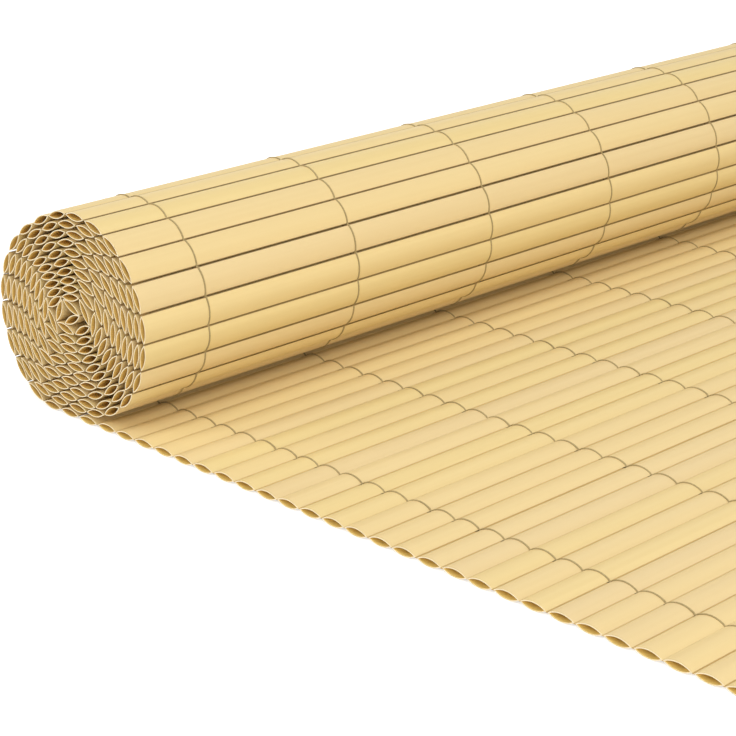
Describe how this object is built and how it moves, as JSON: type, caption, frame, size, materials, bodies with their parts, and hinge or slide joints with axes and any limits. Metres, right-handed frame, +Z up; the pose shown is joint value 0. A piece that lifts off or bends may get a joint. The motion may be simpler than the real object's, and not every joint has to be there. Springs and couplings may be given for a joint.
{
  "type": "pvc privacy screen",
  "caption": "Garden privacy screen: a mat of hollow lens-section plastic slats bound side by side with thread, part wound in a roll and part laid flat, to cover a fence or railing.",
  "frame": {"origin": "middle of the footprint, on the floor the mat lies on", "axes": "+X from the roll towards the mat's free end, +Y along the slats away from the near cut ends, +Z up"},
  "size_m": [0.6455, 0.8, 0.1184],
  "materials": {
    "pvc_slats": "satin straw-coloured extruded PVC",
    "binding_thread": "twisted polyester sewing cord"
  },
  "bodies": {
    "root": {"flat_slat_01": "pvc_slats", "flat_slat_02": "pvc_slats", "flat_slat_03": "pvc_slats", "flat_slat_04": "pvc_slats", "flat_slat_05": "pvc_slats", "flat_slat_06": "pvc_slats", "flat_slat_07": "pvc_slats", "flat_slat_08": "pvc_slats", "flat_slat_09": "pvc_slats", "flat_slat_10": "pvc_slats", "flat_slat_11": "pvc_slats", "flat_slat_12": "pvc_slats", "flat_slat_13": "pvc_slats", "flat_slat_14": "pvc_slats", "flat_slat_15": "pvc_slats", "flat_slat_16": "pvc_slats", "flat_slat_17": "pvc_slats", "flat_slat_18": "pvc_slats", "flat_slat_19": "pvc_slats", "flat_slat_20": "pvc_slats", "flat_slat_21": "pvc_slats", "flat_slat_22": "pvc_slats", "flat_slat_23": "pvc_slats", "flat_slat_24": "pvc_slats", "flat_slat_25": "pvc_slats", "flat_slat_26": "pvc_slats", "flat_slat_27": "pvc_slats", "flat_slat_28": "pvc_slats", "flat_slat_29": "pvc_slats", "flat_slat_30": "pvc_slats", "flat_slat_31": "pvc_slats", "flat_slat_32": "pvc_slats", "flat_slat_33": "pvc_slats", "flat_slat_34": "pvc_slats", "flat_slat_35": "pvc_slats", "flat_slat_36": "pvc_slats", "roll_turn_01": "pvc_slats", "roll_turn_02": "pvc_slats", "roll_turn_03": "pvc_slats", "roll_turn_04": "pvc_slats", "roll_turn_05": "pvc_slats", "roll_turn_06": "pvc_slats", "roll_turn_07": "pvc_slats", "roll_turn_08": "pvc_slats", "roll_turn_09": "pvc_slats", "roll_turn_10": "pvc_slats", "roll_turn_11": "pvc_slats"}
  },
  "joints": []
}
